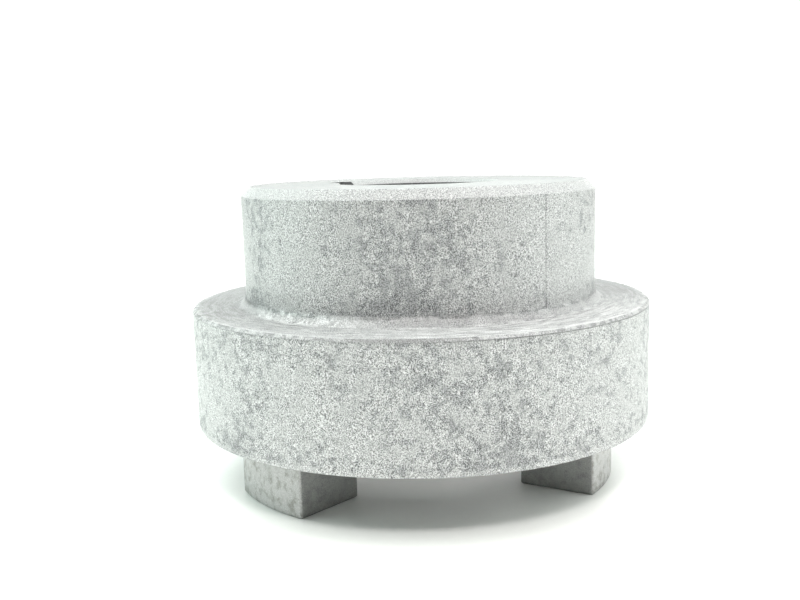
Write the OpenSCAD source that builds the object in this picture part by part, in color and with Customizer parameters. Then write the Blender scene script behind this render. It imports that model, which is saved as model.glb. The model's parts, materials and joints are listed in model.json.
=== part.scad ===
// One hub of a jaw coupling, standing on its three jaws, with its two set screws.
// The origin is the centre of the plane through the jaw tips, and the bore runs up +Z.
// The keyway opens towards +Y, in the middle of the gap between two jaws.

/* [Flange] */
// Diameter of the flange, the largest on the hub
flange_d = 93.7; // [88:0.1:110]
// Thickness of the flange
flange_t = 23.7; // [16:0.1:36]
// Chamfer on the flange's upper edge
flange_chamfer = 0.5; // [0.2:0.1:1.5]
// Chamfer on the flange's lower edge
flange_under_chamfer = 0.2; // [0.1:0.1:1.5]

/* [Barrel] */
// Diameter of the barrel above the flange
barrel_d = 72.2; // [66:0.1:78]
// Height of the barrel above the flange
barrel_h = 23.9; // [18:0.1:40]
// Chamfer on the free end of the barrel
barrel_chamfer = 1.85; // [0.5:0.05:3]
// Radius of the fillet where the barrel meets the flange
foot_fillet = 2; // [0.3:0.1:3]

/* [Jaws] */
// Number of jaws, evenly spaced
jaw_count = 3; // [2:1:4]
// Width of a jaw across the corners of its outer face
jaw_outer_w = 20.8; // [14:0.1:26]
// Width of a jaw across the corners of its inner face
jaw_inner_w = 15.5; // [10:0.1:20]
// Height of a jaw, from the flange to its tip
jaw_h = 12.4; // [8:0.1:20]
// Diameter across the outer faces of the jaws
jaw_od = 79.2; // [70:0.1:84]
// Diameter across the inner faces of the jaws
jaw_id = 48.9; // [44:0.1:60]
// Chamfer on the curved edges of a jaw's tip
jaw_chamfer = 0.4; // [0.2:0.1:1]

/* [Bore] */
// Diameter of the bore
bore_d = 31.75; // [20:0.05:38]
// Chamfer on both ends of the bore
bore_chamfer = 0.8; // [0.3:0.1:2]
// Width of the keyway
keyway_w = 6.35; // [4:0.05:10]
// Depth of the keyway, measured at its side wall
keyway_depth = 3.2; // [2:0.05:5]

/* [Set screws] */
// Outer diameter of a set screw
screw_d = 7.84; // [6:0.02:8]
// Length of a set screw
screw_l = 12.7; // [8:0.1:12.7]
// Width across the flats of the hexagon socket
socket_w = 3.97; // [2:0.01:4]
// Depth of the hexagon socket
socket_depth = 4.8; // [2:0.1:5]
// Diameter of the cup at the screw's tip
cup_d = 4.3; // [2.5:0.1:4.5]
// Gap at rest between a screw's cup and the bore or the keyway
cup_gap = 0.3; // [0.1:0.1:1]
// Radial clearance of a screw in its hole
screw_clearance = 0.05; // [0.02:0.01:0.09]

/* [Hidden] */
$fn = 96;

flange_z = jaw_h;
barrel_z = flange_z + flange_t;
top_z = barrel_z + barrel_h;
flange_r = flange_d / 2;
barrel_r = barrel_d / 2;
bore_r = bore_d / 2;
screw_r = screw_d / 2;
screw_hole_r = screw_r + screw_clearance;

// Height of the set screws, half way up the barrel.
screw_z = barrel_z + barrel_h / 2;
// Distance from the bore's axis to the floor of the keyway.
keyway_floor = sqrt(bore_r * bore_r - keyway_w * keyway_w / 4) + keyway_depth;
// Angles of the set screws about the bore: one over the keyway, one square to it.
key_screw_angle = 90;
side_screw_angle = 0;
// Chamfers on a set screw: at its head, and the longer one behind its cup, which leaves the cup a rim.
screw_head_chamfer = 0.6;
screw_tip_chamfer = 0.68 * (screw_r - cup_d / 2);
// Countersink round the mouth of a screw hole.
hole_countersink = 0.5;
// How far a jaw runs up into the flange, so that they are one solid.
jaw_root = 2;
// How far a cutting shape runs past the face that it cuts.
past = 1;
// How far the flanks of a jaw's outline run past its outer corners, to clear the curved face.
flank_past = 4;
// Points along the fillet's quarter arc.
fillet_steps = 6;

// Half of the hub's section without its jaws: [distance from the axis, height].
hub_section = concat(
    [
        [bore_r + bore_chamfer, flange_z],
        [flange_r - flange_under_chamfer, flange_z],
        [flange_r, flange_z + flange_under_chamfer],
        [flange_r, barrel_z - flange_chamfer],
        [flange_r - flange_chamfer, barrel_z]
    ],
    [
        for (i = [0 : fillet_steps])
            let (a = 270 - 90 * i / fillet_steps)
                [barrel_r + foot_fillet * (1 + cos(a)), barrel_z + foot_fillet * (1 + sin(a))]
    ],
    [
        [barrel_r, top_z - barrel_chamfer],
        [barrel_r - barrel_chamfer, top_z],
        [bore_r + bore_chamfer, top_z],
        [bore_r, top_z - bore_chamfer],
        [bore_r, flange_z + bore_chamfer]
    ]
);

// Section of the ring that the jaws are cut from: [distance from the axis, height].
jaw_section = [
    [jaw_id / 2 + jaw_chamfer, 0],
    [jaw_od / 2 - jaw_chamfer, 0],
    [jaw_od / 2, jaw_chamfer],
    [jaw_od / 2, jaw_h + jaw_root],
    [jaw_id / 2, jaw_h + jaw_root],
    [jaw_id / 2, jaw_chamfer]
];

// Half of a set screw's section: [distance from its axis, distance from its cup's rim].
screw_section = [
    [0, cup_d / 4],
    [cup_d / 2, 0],
    [screw_r - screw_tip_chamfer, 0],
    [screw_r, screw_tip_chamfer],
    [screw_r, screw_l - screw_head_chamfer],
    [screw_r - screw_head_chamfer, screw_l],
    [0, screw_l]
];

// Turns a shape that points up, so that it points outwards at an angle about the bore.
module pointing_outwards(angle) {
    translate([0, 0, screw_z]) rotate([0, 90, angle]) children();
}

// One jaw, centred on an angle about the bore. Its flat flanks run through the corners of its
// outer and inner faces.
module jaw(angle) {
    inner_x = sqrt(jaw_id * jaw_id - jaw_inner_w * jaw_inner_w) / 2;
    outer_x = sqrt(jaw_od * jaw_od - jaw_outer_w * jaw_outer_w) / 2;
    flank_slope = (jaw_outer_w - jaw_inner_w) / 2 / (outer_x - inner_x);
    near_x = inner_x - past;
    far_x = outer_x + flank_past;
    near_y = jaw_inner_w / 2 - flank_slope * past;
    far_y = jaw_outer_w / 2 + flank_slope * flank_past;
    rotate(angle) intersection() {
        rotate_extrude() polygon(jaw_section);
        translate([0, 0, -past]) linear_extrude(jaw_h + jaw_root + 2 * past)
            polygon([[near_x, -near_y], [far_x, -far_y], [far_x, far_y], [near_x, near_y]]);
    }
}

// The slot that the keyway cuts, from inside the bore out to its floor.
module keyway_cut() {
    translate([-keyway_w / 2, 0, flange_z - past])
        cube([keyway_w, keyway_floor, top_z - flange_z + 2 * past]);
}

// The hole for one set screw, with its countersink at the barrel's surface.
module screw_hole_cut(angle) {
    sink_depth = hole_countersink + past;
    pointing_outwards(angle) {
        translate([0, 0, bore_r / 2]) cylinder(r = screw_hole_r, h = barrel_r);
        translate([0, 0, barrel_r - hole_countersink])
            cylinder(r1 = screw_hole_r, r2 = screw_hole_r + sink_depth, h = sink_depth);
    }
}

// A set screw with its cup's rim at a distance from the bore's axis.
module set_screw(angle, cup_rim) {
    socket_r = socket_w / sqrt(3);
    pointing_outwards(angle) translate([0, 0, cup_rim])
        difference() {
            rotate_extrude() polygon(screw_section);
            translate([0, 0, screw_l - socket_depth])
                cylinder(r = socket_r, h = socket_depth + past, $fn = 6);
        }
}

module hub() {
    color("lightgray")
        difference() {
            union() {
                rotate_extrude() polygon(hub_section);
                for (i = [0 : jaw_count - 1])
                    jaw(key_screw_angle + (i + 0.5) * 360 / jaw_count);
            }
            keyway_cut();
            screw_hole_cut(key_screw_angle);
            screw_hole_cut(side_screw_angle);
        }
}

module key_set_screw() {
    color("dimgray") set_screw(key_screw_angle, keyway_floor + cup_gap);
}

module side_set_screw() {
    color("dimgray") set_screw(side_screw_angle, bore_r + cup_gap);
}

hub();
key_set_screw();
side_set_screw();
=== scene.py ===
"""One hub of a jaw coupling, standing on its three jaws, with its two set screws."""

import json
import math

import bmesh
import bpy
import numpy as np
from mathutils import Matrix, Vector, noise


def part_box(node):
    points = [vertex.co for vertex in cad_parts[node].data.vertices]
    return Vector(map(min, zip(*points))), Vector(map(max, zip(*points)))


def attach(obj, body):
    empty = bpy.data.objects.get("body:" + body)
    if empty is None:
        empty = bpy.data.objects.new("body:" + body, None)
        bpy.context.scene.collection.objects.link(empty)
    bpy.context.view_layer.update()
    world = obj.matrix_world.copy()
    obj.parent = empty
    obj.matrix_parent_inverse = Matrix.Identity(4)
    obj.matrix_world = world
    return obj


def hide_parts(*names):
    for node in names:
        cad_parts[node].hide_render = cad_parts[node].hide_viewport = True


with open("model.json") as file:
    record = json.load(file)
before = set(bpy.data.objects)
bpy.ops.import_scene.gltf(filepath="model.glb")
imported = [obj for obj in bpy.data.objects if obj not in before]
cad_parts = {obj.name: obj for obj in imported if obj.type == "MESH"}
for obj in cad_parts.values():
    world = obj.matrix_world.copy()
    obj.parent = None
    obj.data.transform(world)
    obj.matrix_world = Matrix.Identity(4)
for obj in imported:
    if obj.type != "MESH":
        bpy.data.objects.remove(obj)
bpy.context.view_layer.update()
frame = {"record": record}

MM = 0.001
mounts = {mount["name"]: mount for mount in frame["record"]["mounts"]}
hub_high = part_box("hub")[1]
key_screw_low, key_screw_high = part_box("key_set_screw")
side_screw_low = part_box("side_set_screw")[0]

# Sizes that the frame states, in metres.
TOP_Z = hub_high.z
FLANGE_Z = mounts["insert_face"]["pos_m"][2]
FLANGE_R = hub_high.x
BORE_R = mounts["shaft_bore"]["dims"]["r_mm"] * MM
SCREW_Z = (key_screw_low.z + key_screw_high.z) / 2
SCREW_R = (key_screw_high.z - key_screw_low.z) / 2
SCREW_LENGTH = key_screw_high.y - key_screw_low.y

# Sizes that the design gives and the frame doesn't state.
SHOULDER_Z = 36.1 * MM
BARREL_R = 36.1 * MM
BARREL_CHAMFER = 1.85 * MM
FLANGE_CHAMFER = 0.5 * MM
FLANGE_UNDER_CHAMFER = 0.2 * MM
BORE_CHAMFER = 0.8 * MM
FOOT_FILLET = 2.0 * MM
FOOT_Z = SHOULDER_Z + FOOT_FILLET
EDGE_ROUNDING = 0.15 * MM
KEYWAY_WIDTH = 6.35 * MM
KEYWAY_FLOOR = 18.752 * MM
JAW_OUTER_R = 39.6 * MM
JAW_INNER_R = 24.45 * MM
JAW_OUTER_WIDTH = 20.8 * MM
JAW_INNER_WIDTH = 15.5 * MM
JAW_CENTRES = [math.radians(angle) for angle in (30, 150, 270)]
KEY_SCREW_BEARING = math.pi / 2
SIDE_SCREW_BEARING = 0.0
SCREW_HOLE_R = SCREW_R + 0.05 * MM
THREAD_PITCH = 1.411 * MM
THREAD_DEPTH = 0.55 * MM
SOCKET_WIDTH = 3.97 * MM
SOCKET_DEPTH = 4.8 * MM
CUP_R = 2.15 * MM

# How finely the surfaces are divided.
TURNS = 384
STEP = 0.9 * MM
ROUND_STEPS = 4

# Where the camera stands, its turns in radians, and its lens in millimetres on a 36 mm sensor.
CAMERA_DISTANCE = 200.0 * MM
CAMERA_HEIGHT = 66.7 * MM
CAMERA_BEARING = math.radians(199.95)
CAMERA_YAW = -0.0210
CAMERA_PITCH = 0.1557
CAMERA_ROLL = -0.0257
CAMERA_LENS = 43.25
CAMERA_SENSOR = 36

# Brightness of the light from all round and of the backdrop, and the lights' colours.
WORLD_FILL = 0.02
BACKDROP = 1.2
PALE = (0.97, 1.0, 0.99, 1)
WARM = (1, 0.975, 0.96)
COOL = (0.94, 1, 0.97)
COOLER = (0.84, 1, 0.945)

# Name, bearing and rise in degrees, distance, width, height, power and colour of each light.
LIGHTS = [
    ("key_light", 5, 53, 1.0, 0.15, 0.15, 3.9, WARM),
    ("top_light", 0, 89, 1.0, 1.6, 1.6, 17.0, WARM),
    ("left_low_light", -100, 22, 0.8, 0.9, 0.7, 1.65, COOLER),
    ("left_light", -100, 40, 0.8, 0.9, 0.7, 5.0, COOLER),
    ("right_low_light", 95, 22, 0.8, 0.9, 0.7, 2.0, COOL),
    ("right_light", 95, 40, 0.8, 0.9, 0.7, 3.9, COOL),
    ("back_light", 180, 50, 0.9, 1.2, 0.5, 6.0, COOLER),
    ("back_low_light", 180, 10.5, 0.9, 1.6, 0.14, 6.2, WARM),
]


# ---------------------------------------------------------------- camera


def make_camera():
    """The camera stands a little above the hub's top, at a bearing about the bore, and looks at the hub."""
    data = bpy.data.cameras.new("camera")
    data.lens = CAMERA_LENS
    data.sensor_width = CAMERA_SENSOR
    data.clip_start = 0.01
    data.clip_end = 50
    camera = bpy.data.objects.new("camera", data)
    bpy.context.scene.collection.objects.link(camera)
    bpy.context.scene.camera = camera
    towards_hub = Matrix.Rotation(CAMERA_BEARING + math.pi / 2, 4, "Z")
    forward = Vector((math.sin(CAMERA_YAW) * math.cos(CAMERA_PITCH),
                      math.cos(CAMERA_YAW) * math.cos(CAMERA_PITCH),
                      -math.sin(CAMERA_PITCH)))
    level = Vector((math.cos(CAMERA_YAW), -math.sin(CAMERA_YAW), 0))
    upright = level.cross(forward)
    right = level * math.cos(CAMERA_ROLL) + upright * math.sin(CAMERA_ROLL)
    up = upright * math.cos(CAMERA_ROLL) - level * math.sin(CAMERA_ROLL)
    axes = Matrix((right, up, -forward)).transposed().to_4x4()
    place = Matrix.Translation((0, -CAMERA_DISTANCE, CAMERA_HEIGHT))
    camera.matrix_world = towards_hub @ place @ axes


# ---------------------------------------------------------------- mesh helpers

def object_from(name, points, faces):
    """A closed mesh, with its faces turned outwards."""
    mesh = bpy.data.meshes.new(name)
    mesh.from_pydata([tuple(p) for p in points], [], faces)
    mesh.validate()
    made = bpy.data.objects.new(name, mesh)
    bpy.context.scene.collection.objects.link(made)
    shape = bmesh.new()
    shape.from_mesh(mesh)
    bmesh.ops.recalc_face_normals(shape, faces=shape.faces)
    shape.to_mesh(mesh)
    shape.free()
    return made


def combine(made, other, operation):
    """Cuts other from made, or joins it on, and removes other."""
    modifier = made.modifiers.new("combine", "BOOLEAN")
    modifier.operation = operation
    modifier.solver = "MANIFOLD"
    modifier.object = other
    graph = bpy.context.evaluated_depsgraph_get()
    mesh = bpy.data.meshes.new_from_object(made.evaluated_get(graph), depsgraph=graph)
    made.modifiers.clear()
    made.data = mesh
    bpy.data.objects.remove(other)


def rounded_loop(corners, step):
    """Points round a closed outline whose corners, (x, y, radius), are rounded to arcs."""
    points = []
    count = len(corners)
    for i, (x, y, radius) in enumerate(corners):
        corner = Vector((x, y))
        before = (Vector(corners[i - 1][:2]) - corner).normalized()
        after = (Vector(corners[(i + 1) % count][:2]) - corner).normalized()
        half = before.angle(after) / 2
        start = corner + before * radius / math.tan(half)
        end = corner + after * radius / math.tan(half)
        centre = corner + (before + after).normalized() * radius / math.sin(half)
        if points:
            points += between(points[-1], start, step)
        first, last = start - centre, end - centre
        sweep = math.atan2(first.cross(last), first.dot(last))
        for k in range(ROUND_STEPS + 1):
            points.append(centre + Matrix.Rotation(sweep * k / ROUND_STEPS, 2) @ first)
    return points + between(points[-1], points[0], step)


def between(start, end, step):
    """Evenly spaced points inside a straight stretch."""
    pieces = max(1, round((end - start).length / step))
    return [start.lerp(end, k / pieces) for k in range(1, pieces)]


def revolved(name, outline, turns):
    """A ring made by turning a closed outline of (distance from the axis, height) about Z."""
    count = len(outline)
    points = [(r * math.cos(a), r * math.sin(a), z)
              for a in np.linspace(0, 2 * math.pi, turns, endpoint=False)
              for r, z in outline]
    faces = [(t * count + k, t * count + (k + 1) % count,
              (t + 1) % turns * count + (k + 1) % count, (t + 1) % turns * count + k)
             for t in range(turns) for k in range(count)]
    return object_from(name, points, faces)


def lofted(name, rings):
    """A closed solid through rings of equally many points, capped at both ends."""
    count = len(rings[0])
    points = [p for ring in rings for p in ring]
    faces = [(s * count + k, s * count + (k + 1) % count,
              (s + 1) * count + (k + 1) % count, (s + 1) * count + k)
             for s in range(len(rings) - 1) for k in range(count)]
    faces.append(tuple(range(count)))
    faces.append(tuple((len(rings) - 1) * count + k for k in range(count)))
    return object_from(name, points, faces)


def block(name, low, high):
    """A box between two corners, for cutting."""
    rings = [[(low[0], low[1], z), (high[0], low[1], z), (high[0], high[1], z), (low[0], high[1], z)]
             for z in (low[2], high[2])]
    return lofted(name, rings)


def point_outwards(made, bearing, distance):
    """Turns a shape that points up to point outwards at a bearing, at the set screws' height."""
    turn = Matrix.Rotation(bearing, 4, "Z") @ Matrix.Rotation(math.pi / 2, 4, "Y")
    place = Matrix.Translation((distance * math.cos(bearing), distance * math.sin(bearing), SCREW_Z))
    made.data.transform(place @ turn)


def smooth_except_edges(made, angle=32):
    for polygon in made.data.polygons:
        polygon.use_smooth = True
    made.data.set_sharp_from_angle(angle=math.radians(angle))


# ---------------------------------------------------------------- hub

def hub_outline():
    """Half of the hub's section without its jaws: each corner's distance from the axis, height and radius."""
    r, c = EDGE_ROUNDING, FLANGE_CHAMFER
    return rounded_loop([
        (BORE_R, FLANGE_Z + BORE_CHAMFER, r),
        (BORE_R + BORE_CHAMFER, FLANGE_Z, r),
        (FLANGE_R, FLANGE_Z, FLANGE_UNDER_CHAMFER),
        (FLANGE_R, SHOULDER_Z - c, r),
        (FLANGE_R - c, SHOULDER_Z, r),
        (BARREL_R, SHOULDER_Z, FOOT_FILLET),
        (BARREL_R, TOP_Z - BARREL_CHAMFER, r),
        (BARREL_R - BARREL_CHAMFER, TOP_Z, r),
        (BORE_R + BORE_CHAMFER, TOP_Z, r),
        (BORE_R, TOP_Z - BORE_CHAMFER, r),
    ], STEP)


def jaw_outline(grow, corner=0.6 * MM, side_steps=12, corner_steps=5, face_steps=36):
    """Outline of a jaw about +X, grown outwards by an amount, with its corners rounded."""
    outer_x = math.sqrt(JAW_OUTER_R ** 2 - JAW_OUTER_WIDTH ** 2 / 4)
    inner_x = math.sqrt(JAW_INNER_R ** 2 - JAW_INNER_WIDTH ** 2 / 4)
    inner_corner = Vector((inner_x, JAW_INNER_WIDTH / 2))
    along = (Vector((outer_x, JAW_OUTER_WIDTH / 2)) - inner_corner).normalized()
    sideways = Vector((-along.y, along.x))
    flank_bearing = math.atan2(sideways.y, sideways.x)
    inset = inner_corner - sideways * corner

    def corner_centre(distance):
        """The point at a distance from the bore's axis, and a corner's radius inside the flank."""
        beside = inset.dot(along)
        return inset + along * (math.sqrt(beside ** 2 - inset.length_squared + distance ** 2) - beside)

    points = []

    def arc(centre, radius, start, end, steps):
        for k in range(steps + 1):
            a = start + (end - start) * k / steps
            points.append(centre + radius * Vector((math.cos(a), math.sin(a))))

    outer_centre = corner_centre(JAW_OUTER_R - corner)
    inner_centre = corner_centre(JAW_INNER_R + corner)
    outer_spread = math.atan2(outer_centre.y, outer_centre.x)
    inner_spread = math.atan2(inner_centre.y, inner_centre.x)
    arc(Vector((0, 0)), JAW_OUTER_R + grow, 0, outer_spread, face_steps // 2)
    arc(outer_centre, corner + grow, outer_spread, flank_bearing, corner_steps)
    flank_end = inner_centre + sideways * (corner + grow)
    points.extend(between(points[-1], flank_end, (JAW_OUTER_R - JAW_INNER_R) / side_steps))
    arc(inner_centre, corner + grow, flank_bearing, inner_spread + math.pi, corner_steps)
    arc(Vector((0, 0)), JAW_INNER_R - grow, inner_spread, 0, face_steps // 2)
    mirrored = [Vector((p.x, -p.y)) for p in reversed(points[1:-1])]
    apart = []
    for p in points + mirrored:
        if not apart or (p - apart[-1]).length > 0.01 * MM:
            apart.append(p)
    return apart


def make_jaw(bearing, tip_rounding=0.4 * MM, root_fillet=0.7 * MM, root=1.5 * MM):
    """One jaw, rounded at its tip and filleted where it grows out of the flange."""
    levels = [(0, -tip_rounding)]
    for k in range(1, ROUND_STEPS + 1):
        a = math.pi / 2 * k / ROUND_STEPS
        levels.append((tip_rounding * (1 - math.cos(a)), -tip_rounding * (1 - math.sin(a))))
    body_top = FLANGE_Z - root_fillet
    rows = round((body_top - tip_rounding) / STEP)
    levels += [(tip_rounding + (body_top - tip_rounding) * k / rows, 0) for k in range(1, rows + 1)]
    for k in range(1, ROUND_STEPS + 1):
        a = math.pi / 2 * k / ROUND_STEPS
        levels.append((body_top + root_fillet * math.sin(a), root_fillet * (1 - math.cos(a))))
    levels.append((FLANGE_Z + root, root_fillet))
    turn = Matrix.Rotation(bearing, 3, "Z")
    rings = [[turn @ Vector((p.x, p.y, z)) for p in jaw_outline(grow)] for z, grow in levels]
    return lofted("jaw", rings)


def threaded_rod(name, radius_at, low, high, turns=56, rows_per_pitch=10):
    """A closed rod about Z whose radius at each bearing and height is given by radius_at."""
    rows = round((high - low) / THREAD_PITCH * rows_per_pitch)
    rings = []
    for row in range(rows + 1):
        z = low + (high - low) * row / rows
        ring = []
        for turn in range(turns):
            a = 2 * math.pi * turn / turns
            r = radius_at(a, z)
            ring.append((r * math.cos(a), r * math.sin(a), z))
        rings.append(ring)
    return lofted(name, rings)


def thread_wave(bearing, height):
    """From 0 at a thread's crest to 1 at its root."""
    phase = (height / THREAD_PITCH - bearing / (2 * math.pi)) % 1
    slope = abs(2 * phase - 1)
    return min(1, max(0, (slope - 0.12) / 0.76))


def tapped_hole(bearing, countersink=0.5 * MM, past=1.0 * MM):
    """The cut for a tapped hole, from inside the bore to past the barrel's surface."""

    def radius_at(a, z):
        flare = max(0, z - (BARREL_R - countersink))
        return max(SCREW_HOLE_R + THREAD_DEPTH * thread_wave(a, z), SCREW_HOLE_R + flare)

    start = BORE_R * 0.6
    cut = threaded_rod("tapped_hole", radius_at, start, BARREL_R + past)
    point_outwards(cut, bearing, 0)
    return cut


def make_hub():
    hub = revolved("hub_casting", hub_outline(), TURNS)
    wear_edges(hub)
    for bearing in JAW_CENTRES:
        combine(hub, make_jaw(bearing), "UNION")
    past = 2 * MM
    combine(hub, block("keyway", (-KEYWAY_WIDTH / 2, 0, FLANGE_Z - past),
                       (KEYWAY_WIDTH / 2, KEYWAY_FLOOR, TOP_Z + past)), "DIFFERENCE")
    combine(hub, tapped_hole(KEY_SCREW_BEARING), "DIFFERENCE")
    combine(hub, tapped_hole(SIDE_SCREW_BEARING), "DIFFERENCE")
    smooth_except_edges(hub)
    hub.data.materials.clear()
    hub.data.materials.append(HubAlloy().material)
    return hub


def wear_edges(hub, depth=0.12 * MM, reach=1.2 * MM):
    """Small dents along the hub's outer edges, each pushed in towards the axis."""
    edges = [(FLANGE_R, FLANGE_Z), (FLANGE_R, SHOULDER_Z), (BARREL_R, TOP_Z - BARREL_CHAMFER)]
    places = np.empty(len(hub.data.vertices) * 3)
    hub.data.vertices.foreach_get("co", places)
    x, y, z = places.reshape(-1, 3).T
    near = np.min([np.hypot(np.hypot(x, y) - er, z - ez) for er, ez in edges], axis=0)
    closeness = np.clip(1 - near / reach, 0, None)
    for i in np.nonzero(closeness)[0]:
        point = hub.data.vertices[i].co
        dent = noise.noise(point * 420) + 0.5 * noise.noise(point * 1100)
        push = depth * closeness[i] * max(0, dent - 0.12) * 2
        point.xy *= 1 - push / point.xy.length


# ---------------------------------------------------------------- set screws

def make_set_screw(name, bearing, distance, spin, steel):
    """A hexagon socket set screw with a cup point and a rolled thread, whose point is at a distance."""
    tip_r = CUP_R + 0.35 * MM
    head_r = SCREW_R - THREAD_DEPTH - 0.1 * MM

    def radius_at(a, z):
        """The thread, cut down to a cone at each end."""
        thread = SCREW_R - THREAD_DEPTH * thread_wave(a, z)
        return min(thread, tip_r + 0.95 * z, head_r + SCREW_LENGTH - z)

    screw = threaded_rod(name, radius_at, 0, SCREW_LENGTH, turns=72, rows_per_pitch=12)
    corner = SOCKET_WIDTH / math.sqrt(3)
    hexagon = [(corner * math.cos(a), corner * math.sin(a)) for a in np.arange(6) * math.pi / 3 + spin]
    floor = SCREW_LENGTH - SOCKET_DEPTH
    past = 0.5 * MM
    lead_in = 0.25 * MM
    cut_by(screw, "socket", hexagon, [(0.15, floor - 0.9 * MM), (1, floor), (1, SCREW_LENGTH + past)])
    circle = [(math.cos(a), math.sin(a)) for a in np.linspace(0, 2 * math.pi, 48, endpoint=False)]
    cut_by(screw, "mouth", circle, [(corner - 0.1 * MM, SCREW_LENGTH - lead_in),
                                    (corner + lead_in + past, SCREW_LENGTH + past)])
    cut_by(screw, "cup", circle, [(CUP_R + past, -past), (CUP_R, 0), (0.1 * MM, CUP_R * 0.55)])
    smooth_except_edges(screw, 40)
    screw.data.materials.clear()
    screw.data.materials.append(steel)
    point_outwards(screw, bearing, distance)
    return screw


def cut_by(made, name, outline, sizes):
    """Cuts away a solid whose outline has the given (scale, height) pairs."""
    rings = [[(x * scale, y * scale, z) for x, y in outline] for scale, z in sizes]
    combine(made, lofted(name, rings), "DIFFERENCE")


# ---------------------------------------------------------------- materials

class Nodes:
    """Builds a material's node tree with short calls. A value is a number, a colour or a node's output."""

    def __init__(self, name):
        self.material = bpy.data.materials.new(name)
        self.material.use_nodes = True
        self.tree = self.material.node_tree
        self.tree.nodes.clear()

    def add(self, kind, inputs=(), **settings):
        node = self.tree.nodes.new(kind)
        for key, value in settings.items():
            setattr(node, key, value)
        for key, value in dict(inputs).items():
            if isinstance(value, bpy.types.NodeSocket):
                self.tree.links.new(value, node.inputs[key])
            else:
                node.inputs[key].default_value = value
        return node

    def math(self, operation, a, b=0.0):
        return self.add("ShaderNodeMath", {0: a, 1: b}, operation=operation).outputs[0]

    def times(self, first, *others):
        for other in others:
            first = self.math("MULTIPLY", first, other)
        return first

    def plus(self, first, *others):
        for other in others:
            first = self.math("ADD", first, other)
        return first

    def vector(self, operation, *vectors):
        node = self.add("ShaderNodeVectorMath", dict(enumerate(vectors)), operation=operation)
        return node.outputs["Value" if operation in ("LENGTH", "DOT_PRODUCT") else "Vector"]

    def combine(self, x=0.0, y=0.0, z=0.0):
        return self.add("ShaderNodeCombineXYZ", {0: x, 1: y, 2: z}).outputs[0]

    def noise(self, place, scale, detail, roughness, distortion=0.0):
        node = self.add("ShaderNodeTexNoise", {
            "Vector": place, "Scale": scale, "Detail": detail,
            "Roughness": roughness, "Distortion": distortion})
        return node.outputs["Fac"]

    def ramp(self, value, low, high, start=0.0, end=1.0):
        """From start to end as a value goes from low to high, and level beyond them."""
        node = self.add("ShaderNodeMapRange", {
            "Value": value, "From Min": low, "From Max": high, "To Min": start, "To Max": end})
        node.clamp = True
        return node.outputs["Result"]

    def band(self, value, low, low_full, high_full, high):
        """1 between the two middle limits, fading to 0 at the outer ones."""
        return self.times(self.ramp(value, low, low_full), self.ramp(value, high, high_full))

    def mix(self, share, a, b):
        """A colour between a and b."""
        return self.add("ShaderNodeMix", {0: share, 6: a, 7: b}, data_type="RGBA").outputs[2]

    def blend(self, share, a, b):
        """A number between a and b."""
        return self.add("ShaderNodeMix", {0: share, 2: a, 3: b}, data_type="FLOAT").outputs[0]

    def finish(self, colour, roughness, metallic, relief, strength, distance):
        bump = self.add("ShaderNodeBump", {"Height": relief, "Strength": strength, "Distance": distance})
        shader = self.add("ShaderNodeBsdfPrincipled", {
            "Base Color": colour, "Metallic": metallic, "Roughness": roughness, "Normal": bump.outputs[0]})
        self.add("ShaderNodeOutputMaterial", {"Surface": shader.outputs[0]})
        return self.material


def grey(value, warm=0.0):
    return (value * (1 + warm), value, value * (1 - warm), 1.0)


# Bearings of the hub's sides that look different from the rest.
STAINED_SIDE = math.radians(195)    # the barrel is darkest, with painted glints along its foot
DEPOSIT_SIDE = math.radians(165)    # a pale deposit lies along the barrel's foot, and the barrel is cleaner
PAINTED_LIGHT_SIDE = math.radians(215)     # the flange's upper face is brightest, as painted light; turned faces are painted darker, as shade, away from it
CLEAN_SIDE = math.radians(240)      # the barrel is cleanest, and a thin painted shadow line runs under the flange's upper rim
SCRIBED_LINE = math.radians(239.1)
DARK_PATCH = math.radians(211)      # on the flange's side
LIGHT_PATCH = math.radians(179)     # on the flange's side

# How fine each noise is, in waves per metre.
CLOUD_SCALE = 75
SPECKLE_SCALE = 260
MOTTLE_SCALE = 560
BROWN_SCALE = 600
STREAK_SCALE = 1500
GLINT_SCALE = 2400
LINE_SCALE = 4200
GRAIN_SCALE = 4600
STREAK_R = 6 * MM                   # streaks are read round a circle this small, which draws them out


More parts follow.
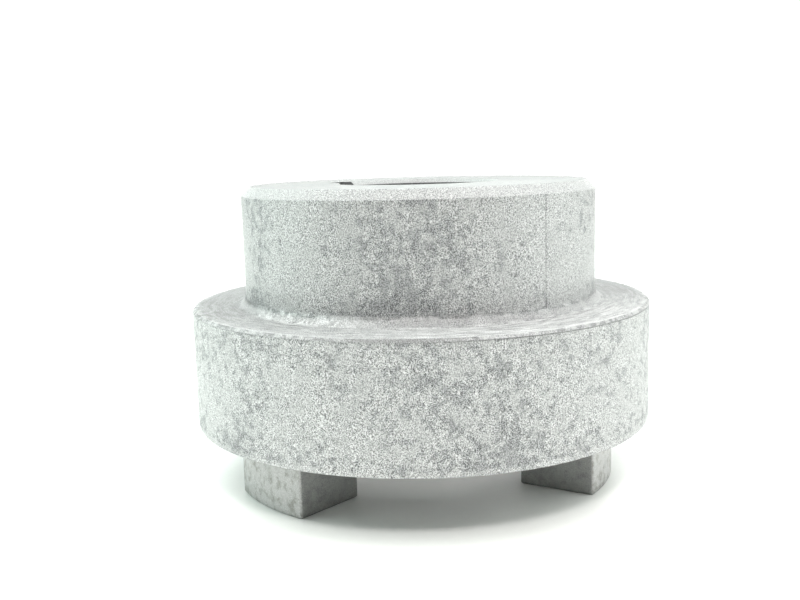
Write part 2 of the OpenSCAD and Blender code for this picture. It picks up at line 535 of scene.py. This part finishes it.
class HubAlloy(Nodes):
    """Cast light alloy gone grey: a fine dense speckle with soft dark stains, and cleaner turned faces."""

    def __init__(self):
        super().__init__("hub_alloy")
        self.measure()
        self.find_surfaces()
        self.find_sides()
        self.make_stains()
        self.make_turned_tone()
        colour = self.main_colour()
        colour = self.mark_edges(colour)
        colour = self.mark_jaws(colour)
        colour = self.scribe(colour)
        roughness = self.blend(self.stain, 0.48, 0.62)
        roughness = self.blend(self.math("MAXIMUM", self.level, self.sloped), roughness, 0.68)
        metallic = self.blend(self.math("MAXIMUM", self.level, self.times(self.sloped, 0.7)), 0.5, 0.12)
        relief = self.plus(self.times(self.grain, 0.3), self.times(self.mottle, 0.8),
                           self.times(self.lines, self.level, 0.5))
        relief = self.math("SUBTRACT", relief, self.scribed)
        self.finish(colour, roughness, metallic, relief, strength=0.4, distance=0.1 * MM)

    def measure(self):
        """Where a point is, how far from the axis and on which side, and which way it faces."""
        texture = self.add("ShaderNodeTexCoord")
        self.place = texture.outputs["Object"]
        normal = texture.outputs["Normal"]
        split = self.add("ShaderNodeSeparateXYZ", {0: self.place})
        self.height = split.outputs[2]
        self.flat = self.combine(split.outputs[0], split.outputs[1])
        self.radius = self.vector("LENGTH", self.flat)
        self.outwards = self.vector("NORMALIZE", self.flat)
        self.facing_up = self.math("ABSOLUTE", self.add("ShaderNodeSeparateXYZ", {0: normal}).outputs[2])
        self.facing_out = self.math("ABSOLUTE", self.vector("DOT_PRODUCT", self.outwards, normal))

    def towards(self, bearing):
        """1 on the side at a bearing, -1 on the opposite side."""
        return self.vector("DOT_PRODUCT", self.outwards, (math.cos(bearing), math.sin(bearing), 0))

    def find_surfaces(self):
        """Masks, from 0 to 1, for each kind of surface."""
        height, facing_up = self.height, self.facing_up
        self.level = self.ramp(facing_up, 0.85, 0.95)
        self.sloped = self.band(facing_up, 0.35, 0.55, 0.85, 0.95)
        self.upright = self.ramp(facing_up, 0.5, 0.3)
        self.in_bore = self.times(self.ramp(self.radius, BORE_R + 5 * MM, BORE_R + 4.5 * MM),
                                  self.ramp(facing_up, 0.6, 0.4))
        self.on_top = self.times(self.level, self.ramp(height, TOP_Z - 0.6 * MM, TOP_Z - 0.3 * MM))
        self.on_barrel = self.ramp(height, FOOT_Z - 0.3 * MM, FOOT_Z)
        self.on_flange = self.ramp(height, SHOULDER_Z, SHOULDER_Z - 0.3 * MM)
        self.skimmed = self.band(
            height, SHOULDER_Z - 0.3 * MM, SHOULDER_Z + 0.1 * MM, FOOT_Z - 0.3 * MM, FOOT_Z)
        self.skirt = self.band(
            height, FLANGE_Z + 0.8 * MM, FLANGE_Z + 1.3 * MM, FLANGE_Z + 2 * MM, FLANGE_Z + 6 * MM)
        self.lower_rim = self.band(
            height, FLANGE_Z - 0.1 * MM, FLANGE_Z, FLANGE_Z + 0.8 * MM, FLANGE_Z + 1.2 * MM)
        self.upper_rim = self.times(self.ramp(self.radius, FLANGE_R - 1.6 * MM, FLANGE_R - 0.8 * MM),
                                    self.ramp(height, SHOULDER_Z - 0.7 * MM, SHOULDER_Z - 0.45 * MM))
        self.under_rim = self.times(self.upright, self.band(
            height, SHOULDER_Z - 0.8 * MM, SHOULDER_Z - 0.65 * MM,
            SHOULDER_Z - 0.52 * MM, SHOULDER_Z - 0.42 * MM))
        self.on_jaw = self.ramp(height, FLANGE_Z, FLANGE_Z - 0.15 * MM)
        self.on_flank = self.times(
            self.on_jaw, self.ramp(self.facing_out, 0.7, 0.4), self.ramp(facing_up, 0.7, 0.5))

    def find_sides(self):
        """Masks, from 0 to 1, for the sides that are more or less stained."""
        self.stained_side = self.times(self.on_barrel, self.ramp(self.towards(STAINED_SIDE), 0.9, 0.99))
        self.cleanest_side = self.times(self.on_barrel, self.ramp(self.towards(CLEAN_SIDE), 0.89, 0.97))
        self.cleaner_side = self.times(self.on_barrel, self.ramp(self.towards(DEPOSIT_SIDE), 0.91, 0.985))
        self.deposit_side = self.ramp(self.towards(DEPOSIT_SIDE), 0.55, 0.9)
        self.dark_patch = self.times(self.on_flange, self.ramp(self.towards(DARK_PATCH), 0.965, 0.99))
        self.light_patch = self.times(self.on_flange, self.ramp(self.towards(LIGHT_PATCH), 0.965, 0.99))
        self.foot = self.times(self.on_barrel, self.ramp(self.height, FOOT_Z + 4 * MM, FOOT_Z),
                               self.ramp(self.cleanest_side, 0, 1, 1, 0.2))

    def make_stains(self):
        """The speckle, and stains from broad clouds down to small flecks."""
        self.speckle = self.times(
            self.ramp(self.towards(STAINED_SIDE), -0.1, 0.95, 0.55, 1.0),
            self.ramp(self.noise(self.place, SPECKLE_SCALE, 3, 0.6), 0.35, 0.55, 0.6, 1.0))
        self.grain = self.blend(
            self.speckle, 0.5, self.ramp(self.noise(self.place, GRAIN_SCALE, 2, 0.7), 0.38, 0.62))
        self.mottle = self.noise(self.place, MOTTLE_SCALE, 5, 0.72, 0.3)
        clouds = self.noise(self.place, CLOUD_SCALE, 3, 0.5)
        drive = self.plus(
            self.times(self.mottle, 0.9),
            self.times(clouds, 0.34),
            self.times(self.foot, 0.08),
            self.times(self.skirt, 0.05),
            self.times(self.on_barrel, -0.025),
            self.times(self.stained_side, 0.095),
            self.times(self.cleanest_side, -0.065),
            self.times(self.cleaner_side, -0.07),
            self.times(self.dark_patch, 0.045),
            self.times(self.light_patch, -0.04))
        self.stain = self.ramp(drive, 0.625, 0.71)
        self.stained_tone = self.mix(self.grain, grey(0.08, -0.01), grey(0.54, -0.01))

    def make_turned_tone(self):
        """Turned faces are cleaner and carry fine lines and broken streaks round the axis, and are painted
        darker, as shade, away from the lit side.
        """
        self.lines = self.noise(self.combine(self.radius, self.height), LINE_SCALE, 2, 0.6)
        circle = self.vector("MULTIPLY", self.outwards, (STREAK_R, STREAK_R, 0))
        unrolled = self.vector("ADD", circle, self.combine(z=self.plus(self.radius, self.height)))
        broken = self.ramp(self.noise(unrolled, STREAK_SCALE, 3, 0.7), 0.41, 0.59)
        streaks = self.blend(0.5, self.blend(self.speckle, 0.5, broken), self.grain)
        tone = self.mix(streaks, grey(0.08), grey(0.76))
        # Painted shade: turned faces darken, by up to 0.58 towards black, the further they face from the lit
        # side.
        tone = self.mix(self.ramp(self.towards(PAINTED_LIGHT_SIDE), 0.95, 0.2, 0.0, 0.58), tone, grey(0.0))
        stained = self.times(self.stain, self.ramp(self.deposit_side, 0, 1, 0.3, 0.8))
        self.turned_tone = self.mix(stained, tone, self.stained_tone)

    def main_colour(self):
        """The stained skin, and the turned faces, chamfers, bore and top."""
        skin = self.mix(self.stain, self.mix(self.grain, grey(0.14), grey(0.74)), self.stained_tone)
        turned = self.times(self.math("MAXIMUM", self.level, self.skimmed), 0.85)
        colour = self.mix(turned, skin, self.turned_tone)
        chamfer_tone = self.mix(self.grain, grey(0.22), grey(0.55))
        away = self.ramp(self.radius, BARREL_R, BARREL_R + 4 * MM, 0.0, 0.6)
        chamfer_tone = self.mix(away, chamfer_tone, grey(0.05))
        colour = self.mix(self.times(self.sloped, 0.8), colour, chamfer_tone)
        colour = self.mix(self.times(self.in_bore, 0.8), colour, self.turned_tone)
        return self.mix(self.times(self.on_top, 0.7), colour, grey(0.24))

    def mark_edges(self, colour):
        """Painted highlights on the flange's rims, the deposit and painted glints at the barrel's foot, and a
        painted shadow under a rim.
        """
        # Painted highlight: a pale speckled band along the flange's upper and lower rims, fainter on the
        # stained side.
        rim_highlights = self.times(self.plus(self.upper_rim, self.times(self.lower_rim, 0.5)),
                          self.ramp(self.mottle, 0.42, 0.58, 0.0, 0.7),
                          self.ramp(self.towards(STAINED_SIDE), 0.995, 0.965, 0.2, 1.0))
        colour = self.mix(rim_highlights, colour, self.mix(self.grain, grey(0.34), grey(0.72)))
        deposit = self.times(self.skimmed, self.ramp(self.towards(DEPOSIT_SIDE), 0.9, 0.99),
                             self.ramp(self.mottle, 0.42, 0.54),
                             self.ramp(self.radius, BARREL_R + 2.8 * MM, BARREL_R + 1.2 * MM))
        colour = self.mix(self.times(deposit, 0.85), colour, self.mix(self.grain, grey(0.42), grey(0.85)))
        # Painted shadow: a thin dark line just under the flange's upper rim, strongest on the clean side.
        rim_shadow_line = self.times(self.under_rim, self.ramp(self.towards(CLEAN_SIDE), 0.75, 0.93, 0.25, 0.7))
        colour = self.mix(rim_shadow_line, colour, grey(0.12))
        # Painted glints: sparse near-white specks along the barrel's foot on the stained side.
        painted_glints = self.times(self.foot, self.stained_side,
                            self.ramp(self.noise(self.place, GLINT_SCALE, 1, 0.5), 0.68, 0.72))
        return self.mix(self.times(painted_glints, 0.9), colour, grey(0.85))

    def mark_jaws(self, colour):
        """The jaws' outer faces are pale with brown flecks, and their flanks are painted darker, as shade
        under the flange.
        """
        brown = self.ramp(self.noise(self.place, BROWN_SCALE, 4, 0.6), 0.5, 0.64)
        pale = self.mix(self.grain, grey(0.42, 0.01), grey(0.56, 0.01))
        outer_tone = self.mix(self.times(brown, 0.7), pale, (0.24, 0.232, 0.205, 1))
        outer_tone = self.mix(self.level, outer_tone, grey(0.26))
        # Painted shade: the flanks get a darker tone than the outer faces, with a mottle, standing for the
        # shade under the flange.
        shaded_flank_tone = self.mix(self.blend(0.6, self.grain, self.ramp(self.mottle, 0.38, 0.6)),
                              (0.22, 0.222, 0.22, 1), (0.39, 0.39, 0.38, 1))
        tone = self.mix(self.on_flank, outer_tone, shaded_flank_tone)
        return self.mix(self.times(self.on_jaw, 0.9), colour, tone)

    def scribe(self, colour):
        """A thin line scribed down one side of the barrel."""
        across = self.math("ABSOLUTE", self.vector(
            "DOT_PRODUCT", self.flat, (-math.sin(SCRIBED_LINE), math.cos(SCRIBED_LINE), 0)))
        self.scribed = self.times(
            self.ramp(across, 0.13 * MM, 0.05 * MM), self.ramp(self.towards(SCRIBED_LINE), 0.8, 0.9),
            self.on_barrel, self.upright, self.ramp(self.radius, BARREL_R - 2 * MM, BARREL_R - 1 * MM))
        depth = self.times(self.scribed, self.ramp(self.mottle, 0.35, 0.55, 0.25, 0.8))
        return self.mix(depth, colour, grey(0.1))


def screw_steel():
    """Black oxide steel, rubbed grey where the thread and the socket have been handled."""
    n = Nodes("screw_steel")
    place = n.add("ShaderNodeTexCoord").outputs["Object"]
    rubbed = n.ramp(n.noise(place, 900, 4, 0.6), 0.5, 0.72)
    edge = n.add("ShaderNodeNewGeometry").outputs["Pointiness"]
    worn = n.math("MAXIMUM", n.times(rubbed, 0.35), n.ramp(edge, 0.53, 0.62, 0, 0.8))
    colour = n.mix(worn, (0.018, 0.019, 0.022, 1), (0.22, 0.215, 0.205, 1))
    return n.finish(colour, roughness=n.blend(worn, 0.42, 0.3), metallic=0.9,
                    relief=n.noise(place, 6000, 2, 0.5), strength=0.35, distance=0.03 * MM)


def floor_white():
    """A plain white sheet with a faint tooth."""
    n = Nodes("floor_white")
    place = n.add("ShaderNodeTexCoord").outputs["Object"]
    tooth = n.noise(place, 900, 3, 0.5)
    colour = n.mix(tooth, (0.862, 0.87, 0.85, 1), (0.902, 0.91, 0.89, 1))
    return n.finish(colour, roughness=0.55, metallic=0.0, relief=tooth, strength=0.1, distance=0.05 * MM)


# ---------------------------------------------------------------- floor and light

def make_floor(rings=24, spokes=64, reach=0.8):
    """A round sheet, divided more finely near the hub."""
    points = [(0, 0, 0)]
    for ring in range(1, rings + 1):
        r = reach * (ring / rings) ** 2
        points += [(r * math.cos(a), r * math.sin(a), 0)
                   for a in np.linspace(0, 2 * math.pi, spokes, endpoint=False)]
    faces = [(0, 1 + k, 1 + (k + 1) % spokes) for k in range(spokes)]
    faces += [(1 + r * spokes + k, 1 + (r + 1) * spokes + k,
               1 + (r + 1) * spokes + (k + 1) % spokes, 1 + r * spokes + (k + 1) % spokes)
              for r in range(rings - 1) for k in range(spokes)]
    mesh = bpy.data.meshes.new("floor")
    mesh.from_pydata(points, [], faces)
    floor = bpy.data.objects.new("floor", mesh)
    bpy.context.scene.collection.objects.link(floor)
    mesh.materials.append(floor_white())


def softbox(name, bearing, rise, distance, width, height, power, colour):
    """An area light that faces the hub, at a bearing from the camera's own."""
    data = bpy.data.lights.new(name, "AREA")
    data.shape = "RECTANGLE"
    data.size = width
    data.size_y = height
    data.energy = power
    data.color = colour
    light = bpy.data.objects.new(name, data)
    bpy.context.scene.collection.objects.link(light)
    a = CAMERA_BEARING + math.radians(bearing)
    e = math.radians(rise)
    target = Vector((0, 0, TOP_Z / 2))
    place = target + distance * Vector((math.cos(a) * math.cos(e), math.sin(a) * math.cos(e), math.sin(e)))
    aim = (target - place).to_track_quat("-Z", "Y").to_matrix().to_4x4()
    light.matrix_world = Matrix.Translation(place) @ aim
    light.visible_camera = False


def make_world():
    """Dim pale light from all round. The camera sees a plain white backdrop instead."""
    world = bpy.data.worlds.new("studio")
    bpy.context.scene.world = world
    world.use_nodes = True
    tree = world.node_tree
    tree.nodes.clear()
    output = tree.nodes.new("ShaderNodeOutputWorld")
    fill = tree.nodes.new("ShaderNodeBackground")
    fill.inputs["Color"].default_value = PALE
    fill.inputs["Strength"].default_value = WORLD_FILL
    backdrop = tree.nodes.new("ShaderNodeBackground")
    backdrop.inputs["Color"].default_value = (1, 1, 1, 1)
    backdrop.inputs["Strength"].default_value = BACKDROP
    seen = tree.nodes.new("ShaderNodeLightPath")
    choice = tree.nodes.new("ShaderNodeMixShader")
    tree.links.new(seen.outputs["Is Camera Ray"], choice.inputs[0])
    tree.links.new(fill.outputs[0], choice.inputs[1])
    tree.links.new(backdrop.outputs[0], choice.inputs[2])
    tree.links.new(choice.outputs[0], output.inputs["Surface"])
    bpy.context.scene.view_settings.view_transform = "Standard"
    bpy.context.scene.view_settings.look = "None"


# ---------------------------------------------------------------- the scene

make_camera()
make_floor()
make_world()
for light in LIGHTS:
    softbox(*light)

hub = make_hub()
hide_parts("hub")
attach(hub, "hub")

steel = screw_steel()
key_screw = make_set_screw("key_screw_steel", KEY_SCREW_BEARING, key_screw_low.y, 0.2, steel)
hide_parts("key_set_screw")
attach(key_screw, "key_set_screw")

side_screw = make_set_screw("side_screw_steel", SIDE_SCREW_BEARING, side_screw_low.x, 0.7, steel)
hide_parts("side_set_screw")
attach(side_screw, "side_set_screw")
